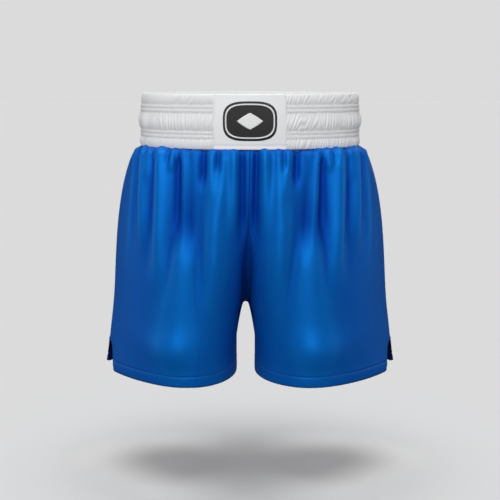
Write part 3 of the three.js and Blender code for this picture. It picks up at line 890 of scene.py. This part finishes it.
def face_out(points, turn):
    """Directions out of a grid of cloth."""
    out = np.cross(np.gradient(points, axis=1), -np.gradient(points, axis=0)) * -turn
    return out / np.maximum(np.linalg.norm(out, axis=-1, keepdims=True), 1e-9)


# ---------------------------------------------------------------- stitches

THREAD_SIDES = 6
BAND_THREAD, HEM_THREAD, TACK_THREAD = 0.6, 0.5, 0.55  # thickness
# Along one stitch: share of its length, share of the thread's thickness, rise from the cloth
STITCH_DIP = ((0.0, 0.35, -0.45), (0.12, 1.0, 0.1), (0.5, 1.1, 0.3), (0.88, 1.0, 0.1))
STITCH_END = (0.35, -0.45)
LOOP_PITCH = 2.4  # from one loop of overlock thread to the next
SEAM_WIDTH, WAIST_SEAM_WIDTH = 5.5, 9.5


def walked(path):
    """Length walked along a path at each of its points."""
    steps = np.linalg.norm(np.diff(path, axis=0), axis=1)
    return np.concatenate([[0.0], np.cumsum(steps)])


def along_path(path, walk, distance):
    """Places at distances along a path."""
    return np.stack([np.interp(distance, walk, path[:, axis]) for axis in range(3)], axis=-1)


def thread(middle, outward, thickness, wide=1.0):
    """A closed tube of thread along its middle points."""
    along = np.gradient(middle, axis=0)
    along /= np.linalg.norm(along, axis=1, keepdims=True)
    out = outward - along * np.sum(outward * along, axis=1, keepdims=True)
    out /= np.linalg.norm(out, axis=1, keepdims=True)
    side = np.cross(out, along)
    turn = np.linspace(0.0, 2.0 * math.pi, THREAD_SIDES + 1)
    reach = np.broadcast_to(wide * thickness / 2.0, len(middle))[None, :, None]
    points = middle[None] + reach * (np.cos(turn)[:, None, None] * side[None]
                                     + np.sin(turn)[:, None, None] * out[None])
    spots = flat_map(THREAD_SIDES, len(middle) - 1, 0.02, len(middle) / DECIMETRE)
    bm = sheet_mesh(points, spots)
    close_up(bm)
    return bm


def stitch_row(path, outward, thickness):
    """One thread that runs along a path and dips into the cloth between its stitches."""
    length = sizes().stitch_length / MM
    walk = walked(path)
    count = max(1, int(walk[-1] // length))
    pitch = walk[-1] / count
    marks = [((index + share) * pitch, wide, rise) for index in range(count)
             for share, wide, rise in STITCH_DIP]
    distance, wide, rise = (np.array(column) for column in zip(*marks, (walk[-1], *STITCH_END)))
    out = along_path(outward, walk, distance)
    out /= np.linalg.norm(out, axis=1, keepdims=True)
    middle = along_path(path, walk, distance) + out * (rise * thickness)[:, None]
    return thread(middle, out, thickness, wide)


def overlocked(path, into, across, width):
    """A seam allowance: two layers of cloth, their raw edges bound in looped thread."""
    walk = walked(path)
    loop = 0.5 + 0.5 * np.cos(2.0 * math.pi * walk / LOOP_PITCH)
    flutter = 0.5 * ripple(walk / 9.0, 77)
    cloth, bound = np.full_like(loop, 0.45), 0.55 + 0.3 * loop
    half = [(0.7, cloth), (0.45 * width, cloth), (0.52 * width, bound), (width - 0.3, bound)]
    section = [(reach, -thick) for reach, thick in half]
    section += [(width + 0.3 * loop, np.zeros_like(loop))]
    section += [(reach, thick) for reach, thick in reversed(half)] + [(0.7, -cloth)]
    points = []
    for reach, thick in section:
        reach = np.broadcast_to(reach, walk.shape)
        shift = thick + flutter * reach / width
        points.append(path + into * reach[:, None] + across * shift[:, None])
    spots = flat_map(len(section) - 1, len(walk) - 1, 0.1, walk[-1] / DECIMETRE)
    bm = sheet_mesh(np.array(points), spots)
    close_up(bm)
    return bm


# ---------------------------------------------------------------- operators

class SHORTS_OT_stage(bpy.types.Operator):
    """Makes the floor, the lights and the camera"""
    bl_idname = "shorts.stage"
    bl_label = "Stage"

    def execute(self, context):
        scene = context.scene
        self.paper(scene)
        for softbox in SOFTBOXES:
            self.light(scene, *softbox)
        overhead = bpy.data.lights.new("overhead", "SUN")
        overhead.energy = OVERHEAD_POWER
        overhead.angle = math.radians(OVERHEAD_SPREAD)
        scene.collection.objects.link(bpy.data.objects.new("overhead", overhead))
        world = bpy.data.worlds.new("studio")
        world.use_nodes = True
        background = world.node_tree.nodes["Background"]
        background.inputs["Color"].default_value = (1.0, 1.0, 1.0, 1.0)
        background.inputs["Strength"].default_value = STUDIO_GLOW
        scene.world = world
        scene.view_settings.view_transform = "Standard"

        camera = bpy.data.cameras.new("camera")
        camera.lens = LENS
        camera.sensor_width = SENSOR
        holder = bpy.data.objects.new("camera", camera)
        scene.collection.objects.link(holder)
        holder.location = CAMERA_PLACE
        holder.rotation_euler = (math.radians(90.0 - CAMERA_TILT), 0.0, 0.0)
        scene.camera = holder
        return {"FINISHED"}

    @staticmethod
    def paper(scene):
        """A wide paper floor and a plain round wall far behind it."""
        bm = bmesh.new()
        bmesh.ops.create_circle(bm, cap_ends=True, segments=96, radius=FLOOR_RADIUS)
        bmesh.ops.translate(bm, verts=bm.verts, vec=(0.0, 0.0, FLOOR_Z))
        paint = stage_paint("Studio floor", FLOOR_TONE, FLOOR_GLOW)
        SHORTS_OT_stage.set_piece(scene, "floor", bm, paint)
        bm = bmesh.new()
        bmesh.ops.create_cone(bm, cap_ends=False, segments=96, radius1=WALL_RADIUS,
                              radius2=WALL_RADIUS, depth=WALL_HEIGHT)
        SHORTS_OT_stage.set_piece(scene, "wall", bm, stage_paint("Studio wall", 0.0, WALL_GLOW))

    @staticmethod
    def set_piece(scene, name, bm, material):
        """Adds a piece of the stage, which the shorts don't reflect."""
        mesh = bpy.data.meshes.new(name)
        bm.to_mesh(mesh)
        bm.free()
        obj = bpy.data.objects.new(name, mesh)
        scene.collection.objects.link(obj)
        mesh.materials.append(material)
        obj.visible_diffuse = False
        obj.visible_glossy = False
        obj.visible_shadow = False

    @staticmethod
    def light(scene, name, place, size, power):
        """A softbox that lights the shorts but not the paper."""
        lamp = bpy.data.lights.new(name, "AREA")
        lamp.size = size
        lamp.energy = power
        holder = bpy.data.objects.new(name, lamp)
        holder.location = place
        aim = Vector(SOFTBOX_AIM) - Vector(place)
        holder.rotation_euler = aim.to_track_quat("-Z", "Y").to_euler()
        scene.collection.objects.link(holder)
        unlit = bpy.data.collections.new(f"{name} leaves dark")
        unlit.objects.link(bpy.data.objects["floor"])
        holder.light_linking.receiver_collection = unlit
        unlit.collection_objects[0].light_linking.link_state = "EXCLUDE"


PATCH_GAP = 0.15  # between the gathered cloth and the patch
ELASTIC_GAP, ROW_GAP = 1.0, 1.5
GATHER_SHARE = 1.35  # cloth gathered into each length of band
BAND_CLOTH_HEIGHT = 1.9  # decimetres, folded double


class SHORTS_OT_waistband(bpy.types.Operator):
    """Makes the gathered band, folded double over its elastic"""
    bl_idname = "shorts.waistband"
    bl_label = "Waistband"

    def execute(self, context):
        columns = sizes().band_columns
        heights = band_profile()
        start, end = PATCH_HALF + PATCH_GAP, WAIST.length - PATCH_HALF - PATCH_GAP
        distances = np.linspace(start, end, columns + 1)
        wave = 0.45 * ripple(distances / 3.4, 90) + 0.5 * ripple(distances / 7.0, 91)
        points = casing_points(band_face, heights, distances, wave)
        run = GATHER_SHARE * (end - start) / DECIMETRE
        bm = sheet_mesh(points, flat_map(points.shape[0] - 1, columns, BAND_CLOTH_HEIGHT, run))
        close_up(bm)
        band = piece("waistband_cloth", bm, "White satin")
        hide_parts("waistband_outer", "waistband_lining")
        return {"FINISHED"}


def flat_strip(name, start, end, top, bottom, material):
    """A strip inside the band, between two distances and two heights."""
    columns = max(8, int((end - start) / 5.0))
    distances = np.linspace(start, end, columns + 1)
    outer, inner = 1.0, -0.7
    section = ((outer, top), (outer, bottom), (inner, bottom), (inner, top), (outer, top))
    points = np.stack([WAIST.at(distances, outward, height) for outward, height in section])
    both_faces, run = 2.0 * (top - bottom) / DECIMETRE, (end - start) / DECIMETRE
    bm = sheet_mesh(points, flat_map(len(section) - 1, columns, both_faces, run))
    close_up(bm)
    return piece(name, bm, material, smooth=False)


class SHORTS_OT_elastic(bpy.types.Operator):
    """Makes the three elastic strips inside the band"""
    bl_idname = "shorts.elastic"
    bl_label = "Elastic"

    def execute(self, context):
        start, end = PATCH_HALF + ELASTIC_GAP, WAIST.length - PATCH_HALF - ELASTIC_GAP
        for name in ("elastic_top", "elastic_middle", "elastic_bottom"):
            low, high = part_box(name)
            strip = flat_strip(f"{name}_strip", start, end, high[2] / MM, low[2] / MM,
                               "Elastic webbing")
            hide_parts(name)
        return {"FINISHED"}


class SHORTS_OT_band_stitching(bpy.types.Operator):
    """Sews the stitch rows round the band"""
    bl_idname = "shorts.band_stitching"
    bl_label = "Band stitching"

    def execute(self, context):
        start, end = PATCH_HALF + ROW_GAP, WAIST.length - PATCH_HALF - ROW_GAP
        distances = np.arange(start, end, 1.0)
        for index, height in enumerate(STITCH_ROWS):
            path = WAIST.at(distances, band_face(distances, height) + 0.15, height)
            inner = WAIST.at(distances, 0.0, height)
            sewn = stitch_row(path, path - inner, BAND_THREAD)
            row = piece(f"band_stitches_{index + 1}", sewn, "White thread")
            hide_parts(f"waistband_stitch_row_{index + 1}")
        return {"FINISHED"}


BACKING_HALF, BACKING_TOP, BACKING_BOTTOM = 53.0, -4.0, -82.0
PATCH_RISE, PATCH_BOW = 0.8, 1.6  # how far the patch stands out at its edges and its middle
PATCH_TURN_IN, PATCH_FOLD, PATCH_FOLD_AT = 0.9, 0.7, -80.5


class SHORTS_OT_patch(bpy.types.Operator):
    """Makes the smooth front patch and the interfacing behind it"""
    bl_idname = "shorts.patch"
    bl_label = "Front patch"

    def execute(self, context):
        columns, rows = 96, 60
        heights = [-1.0 - (BAND_HEIGHT - 1.0) * step / rows for step in range(rows + 1)]
        distances = np.linspace(-PATCH_HALF, PATCH_HALF, columns + 1)
        points = casing_points(patch_face, heights, distances, 0.0)
        width = 2.0 * PATCH_HALF / DECIMETRE
        bm = sheet_mesh(points, flat_map(points.shape[0] - 1, columns, BAND_CLOTH_HEIGHT, width))
        close_up(bm)
        patch = piece("front_patch_cloth", bm, "Smooth white satin")
        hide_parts("front_patch")

        backing = flat_strip("patch_backing", -BACKING_HALF, BACKING_HALF, BACKING_TOP,
                             BACKING_BOTTOM, "Interfacing felt")
        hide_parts("patch_interfacing")
        return {"FINISHED"}


def patch_face(distance, height):
    """How far the smooth patch stands outward: nearly flat, turned in at its sides."""
    side = PATCH_HALF - np.abs(distance)
    turn_in = PATCH_TURN_IN * np.exp(-(side / 1.6) ** 2)
    bow = PATCH_BOW * math.sin(math.pi * min(1.0, max(0.0, -height / BAND_HEIGHT)))
    fold = PATCH_FOLD * math.exp(-((height - PATCH_FOLD_AT) / 1.6) ** 2)
    return CLOTH_FACE + PATCH_RISE + bow - turn_in - fold


# ---------------------------------------------------------------- emblem

BADGE_HALF = (42.0, 31.0)
BADGE_MIDDLE = -42.0
BADGE_POWER = 2.0 / 3.2  # below 1 the outline is squarer than an ellipse
BORDER_INSET, BORDER_WIDTH = 5.0, 2.2
LOZENGE_HALF, LOZENGE_POWER = (20.0, 13.0), 1.12
PILLOW_FACE, PILLOW_UNDERSIDE = 0.7, 0.3  # shares of a pad's rings


def rounded_outline(angle, half_x, half_z):
    """A rounded badge outline."""
    c, s = math.cos(angle), math.sin(angle)
    return (half_x * math.copysign(abs(c) ** BADGE_POWER, c),
            half_z * math.copysign(abs(s) ** BADGE_POWER, s))


def lozenge_outline(angle, half_x, half_z):
    """A lozenge with softly rounded corners."""
    c, s = math.cos(angle), math.sin(angle)
    reach = 1.0 / (abs(c) ** LOZENGE_POWER + abs(s) ** LOZENGE_POWER) ** (1.0 / LOZENGE_POWER)
    return half_x * c * reach, half_z * s * reach


def on_patch(x, z, outward):
    """A place on the patch, outward from its cloth."""
    height = BADGE_MIDDLE + z
    return WAIST.at(x, patch_face(x, height) + outward, height)


def pillow(outline, half, base, crest, around=128, rings=26):
    """A raised pad of stitches: flat underneath, rounded at its edge."""
    rim = np.array([outline(2.0 * math.pi * (step % around) / around, *half)
                    for step in range(around + 1)])
    points, cloth = [], []
    for ring in range(rings + 1):
        share = ring / rings
        face = share < PILLOW_FACE
        reach = share / PILLOW_FACE if face else (1.0 - share) / PILLOW_UNDERSIDE
        outward = base + (crest * math.sqrt(max(0.0, 1.0 - reach ** 12)) if face else 0.0)
        points.append([on_patch(x * reach, z * reach, outward) for x, z in rim])
        cloth.append(rim * reach / DECIMETRE)
    bm = sheet_mesh(np.array(points), np.array(cloth))
    close_up(bm)
    return bm


def cord_ring(outline, half, width, base, crest, around=160, sides=10):
    """A raised line of stitches that follows an outline and closes on itself."""
    points = []
    for side in range(sides + 1):
        turn = 2.0 * math.pi * (side % sides) / sides
        reach = width / 2.0 * math.cos(turn)
        outward = base + crest * (0.5 + 0.5 * math.sin(turn))
        wide, high = half[0] + reach, half[1] + reach
        rim = [outline(2.0 * math.pi * (step % around) / around, wide, high)
               for step in range(around + 1)]
        points.append([on_patch(x, z, outward) for x, z in rim])
    bm = sheet_mesh(np.array(points), flat_map(sides, around, 0.1, 3.0))
    close_up(bm)
    return bm


class SHORTS_OT_emblem(bpy.types.Operator):
    """Embroiders a plain badge: a dark pad, a pale border line and a lozenge"""
    bl_idname = "shorts.emblem"
    bl_label = "Emblem"

    def execute(self, context):
        pad = piece("badge_pad", pillow(rounded_outline, BADGE_HALF, base=0.15, crest=0.75),
                    "Black satin stitch")
        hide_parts("emblem_badge")
        half = (BADGE_HALF[0] - BORDER_INSET, BADGE_HALF[1] - BORDER_INSET)
        ring = cord_ring(rounded_outline, half, BORDER_WIDTH, base=0.85, crest=0.6)
        border = piece("badge_border", ring, "White satin stitch")
        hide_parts("emblem_border")
        small_pad = pillow(lozenge_outline, LOZENGE_HALF, base=0.9, crest=0.55,
                           around=96, rings=20)
        lozenge = piece("badge_lozenge", small_pad, "White satin stitch")
        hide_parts("emblem_lozenge")
        return {"FINISHED"}


# ---------------------------------------------------------------- satin pieces

TURN_UP_GAP = 1.3  # from the panel's face in to the turn-up's
ABOVE_HEM = 1.5  # how far the turn-up runs above its stitching
SEAM_START, INSEAM_START = 12.0, 10.0  # below the waist seam, and below the crotch
TACK_TURNS, TACK_HALF_LENGTH, TACK_HALF_WIDTH, TACK_RISE = 34, 4.0, 1.1, 1.6
LABEL_SIZE, LABEL_TOP, LABEL_THICKNESS = (40.0, 50.0), -22.0, 0.4


def cloth_map(across, depths):
    """A panel's cloth map: across it and down it, in decimetres."""
    down = np.broadcast_to(depths[:, None], across.shape)
    return np.stack([across, down], axis=-1) / DECIMETRE


class SHORTS_OT_panels(bpy.types.Operator):
    """Makes the four satin panels, their hem turn-ups and hem stitching"""
    bl_idname = "shorts.panels"
    bl_label = "Satin panels"

    def execute(self, context):
        for side_name, side in SIDES:
            for face_name, face in FACES:
                place = f"{face_name}_{side_name}"
                points, across, depths, painted_shading = panel_points(side, face)
                cloth = cloth_map(across, depths)
                panel = self.panel(place, side, face, points, cloth, painted_shading)
                turn_up = self.hem(place, side, face, points, cloth, painted_shading, depths)
                hem_thread = self.stitching(place, points, depths)
        return {"FINISHED"}

    @staticmethod
    def panel(place, side, face, points, cloth, painted_shading):
        """One satin panel, from the waist seam to the fold of its hem."""
        bm = sheet_mesh(points, cloth, painted_shading)
        if side * face > 0:
            bmesh.ops.reverse_faces(bm, faces=bm.faces)
        panel = piece(f"{place}_satin", bm, "Blue satin")
        back_cloth(panel)
        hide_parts(f"{place}_panel")
        return panel

    @staticmethod
    def hem(place, side, face, points, cloth, painted_shading, depths):
        """The layer of cloth turned up inside a panel's hem."""
        first = int(np.searchsorted(depths, BODY_LENGTH - HEM_DEPTH - ABOVE_HEM))
        layer = points[first:] - face_out(points[first:], side * face) * TURN_UP_GAP
        bm = sheet_mesh(layer, cloth[first:], painted_shading[first:])
        if side * face > 0:
            bmesh.ops.reverse_faces(bm, faces=bm.faces)
        turn_up = piece(f"{place}_turn_up", bm, "Blue satin")
        back_cloth(turn_up)
        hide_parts(f"{place}_hem_turn_up")
        return turn_up

    @staticmethod
    def stitching(place, points, depths):
        """The row of stitches along a panel's hem."""
        row = int(np.argmin(np.abs(depths - (BODY_LENGTH - HEM_DEPTH))))
        path = points[row]
        tangent = np.gradient(path, axis=0)
        outward = np.stack([tangent[:, 1], -tangent[:, 0], np.zeros(len(path))], axis=-1)
        middle = path[len(path) // 2] - np.array([path[:, 0].mean(), 0.0, path[0, 2]])
        if np.dot(outward[len(path) // 2], middle) < 0:
            outward = -outward
        sewn = stitch_row(path, outward, HEM_THREAD)
        row_piece = piece(f"{place}_hem_thread", sewn, "Blue thread")
        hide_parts(f"{place}_hem_stitch")
        return row_piece


def seam_line(side, face, start, end, inner):
    """A seam's places down one panel edge, about a millimetre apart."""
    points, _across, depths, _painted_shading = panel_points(side, face)
    edge = points[(depths >= start) & (depths <= end), 0 if inner else -1]
    walk = walked(edge)
    return along_path(edge, walk, np.linspace(0.0, walk[-1], int(walk[-1])))


class SHORTS_OT_seams(bpy.types.Operator):
    """Makes the inner seams, the waist seam's overlock and the bartacks"""
    bl_idname = "shorts.seams"
    bl_label = "Seams"

    def execute(self, context):
        slit_top = BODY_LENGTH - SLIT_LENGTH
        hem_top = BODY_LENGTH - HEM_DEPTH - ABOVE_HEM
        for name, side in SIDES:
            line = seam_line(side, FRONT, SEAM_START, slit_top, inner=False)
            self.seam(f"{name}_side_seam", line, (-side, 0.0, 0.0), (0.0, 1.0, 0.0))
            line = seam_line(side, FRONT, RISE_LENGTH + INSEAM_START, hem_top, inner=True)
            self.seam(f"{name}_inseam", line, (side, 0.0, 0.0), (0.0, 1.0, 0.0))
            self.bartack(name, side, slit_top)
        front = seam_line(LEFT, FRONT, SEAM_START, RISE_LENGTH, inner=True)
        back = seam_line(LEFT, BACK, SEAM_START, RISE_LENGTH, inner=True)[::-1]
        line = np.concatenate([front, back[1:]])
        along = np.gradient(line, axis=0)
        into = np.stack([np.zeros(len(line)), -along[:, 2], along[:, 1]], axis=-1)
        into /= np.linalg.norm(into, axis=1, keepdims=True)
        self.seam("rise_seam", line, into, (1.0, 0.0, 0.0))
        distances = np.linspace(0.0, WAIST.length, 701)
        ring = WAIST.at(distances, LINING_FACE + 0.4, BODY_TOP + 0.5)
        out = WAIST.at(distances, 1.0, 0.0) - WAIST.at(distances, 0.0, 0.0)
        binding = overlocked(ring, np.array((0.0, 0.0, -1.0)), out, WAIST_SEAM_WIDTH)
        self.sewn("waist_seam_overlock", binding)
        return {"FINISHED"}

    @staticmethod
    def sewn(name, bm):
        """Lets an overlocked seam stand in for its node on the frame."""
        made = piece(f"{name}_binding", bm, "Blue thread")
        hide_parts(name)

    def seam(self, name, line, into, across):
        """Overlocks one seam of the body along its line."""
        into, across = np.array(into, float), np.array(across, float)
        self.sewn(name, overlocked(line, into, across, SEAM_WIDTH))

    @staticmethod
    def bartack(name, side, depth):
        """A close zigzag of thread that ties off the top of a side slit."""
        steps = np.arange(TACK_TURNS + 1)
        y = SIDE_SEAM_Y - TACK_HALF_LENGTH + 2.0 * TACK_HALF_LENGTH * steps / TACK_TURNS
        z = BODY_TOP - depth + TACK_RISE + TACK_HALF_WIDTH * np.where(steps % 2, 1.0, -1.0)
        x = np.full(len(steps), side * (body_at(depth, FRONT)["outer_x"] + 0.5))
        zigzag = np.stack([x, y, z], axis=-1)
        walk = walked(zigzag)
        middle = along_path(zigzag, walk, np.linspace(0.0, walk[-1], 5 * TACK_TURNS))
        out = np.broadcast_to(np.array((float(side), 0.0, 0.0)), middle.shape)
        tack = piece(f"{name}_bartack", thread(middle, out, TACK_THREAD), "Blue thread")
        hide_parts(f"{name}_slit_bartack")


class SHORTS_OT_care_label(bpy.types.Operator):
    """Makes the blank care label that hangs inside the back of the band"""
    bl_idname = "shorts.care_label"
    bl_label = "Care label"

    def execute(self, context):
        columns, rows = 24, 30
        width, height = LABEL_SIZE
        down = np.linspace(0.0, 1.0, rows + 1)[:, None]
        across = np.linspace(-0.5, 0.5, columns + 1)[None, :]
        hang = 0.2 + 2.2 * down ** 2 + 0.5 * down * np.cos(5.0 * across)
        fold = 0.5 * np.exp(-((down - 0.04) / 0.03) ** 2)
        points = WAIST.at(WAIST.length / 2.0 + width * across, LINING_FACE - 1.0 - hang + fold,
                          LABEL_TOP - height * down)
        spots = flat_map(rows, columns, height / DECIMETRE, width / DECIMETRE)
        bm = sheet_mesh(points, spots)
        label = piece("care_label_ribbon", bm, "Label ribbon")
        wall = label.modifiers.new("ribbon thickness", "SOLIDIFY")
        wall.thickness = LABEL_THICKNESS * MM
        wall.offset = 0.0
        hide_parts("care_label")
        return {"FINISHED"}


class SHORTS_PT_panel(bpy.types.Panel):
    """Lists the shorts' pieces"""
    bl_idname = "SHORTS_PT_panel"
    bl_label = "Boxing Shorts"
    bl_space_type = "VIEW_3D"
    bl_region_type = "UI"
    bl_category = "Shorts"

    def draw(self, context):
        layout = self.layout
        for group in (context.scene.shorts_sizes, context.scene.shorts_colours):
            for key in group.bl_rna.properties.keys():
                if key not in {"rna_type", "name"}:
                    layout.prop(group, key)
        for operator in OPERATORS:
            layout.operator(operator.bl_idname)


OPERATORS = (
    SHORTS_OT_stage,
    SHORTS_OT_waistband,
    SHORTS_OT_elastic,
    SHORTS_OT_band_stitching,
    SHORTS_OT_patch,
    SHORTS_OT_emblem,
    SHORTS_OT_panels,
    SHORTS_OT_seams,
    SHORTS_OT_care_label,
)
CLASSES = (ShortsSizes, ShortsColours, *OPERATORS, SHORTS_PT_panel)


def register():
    for cls in CLASSES:
        bpy.utils.register_class(cls)
    bpy.types.Scene.shorts_sizes = PointerProperty(type=ShortsSizes)
    bpy.types.Scene.shorts_colours = PointerProperty(type=ShortsColours)


def unregister():
    del bpy.types.Scene.shorts_colours
    del bpy.types.Scene.shorts_sizes
    for cls in reversed(CLASSES):
        bpy.utils.unregister_class(cls)


def main():
    register()
    bpy.ops.shorts.stage()
    bpy.ops.shorts.waistband()
    bpy.ops.shorts.elastic()
    bpy.ops.shorts.band_stitching()
    bpy.ops.shorts.patch()
    bpy.ops.shorts.emblem()
    bpy.ops.shorts.panels()
    bpy.ops.shorts.seams()
    bpy.ops.shorts.care_label()


if __name__ == "__main__":
    main()
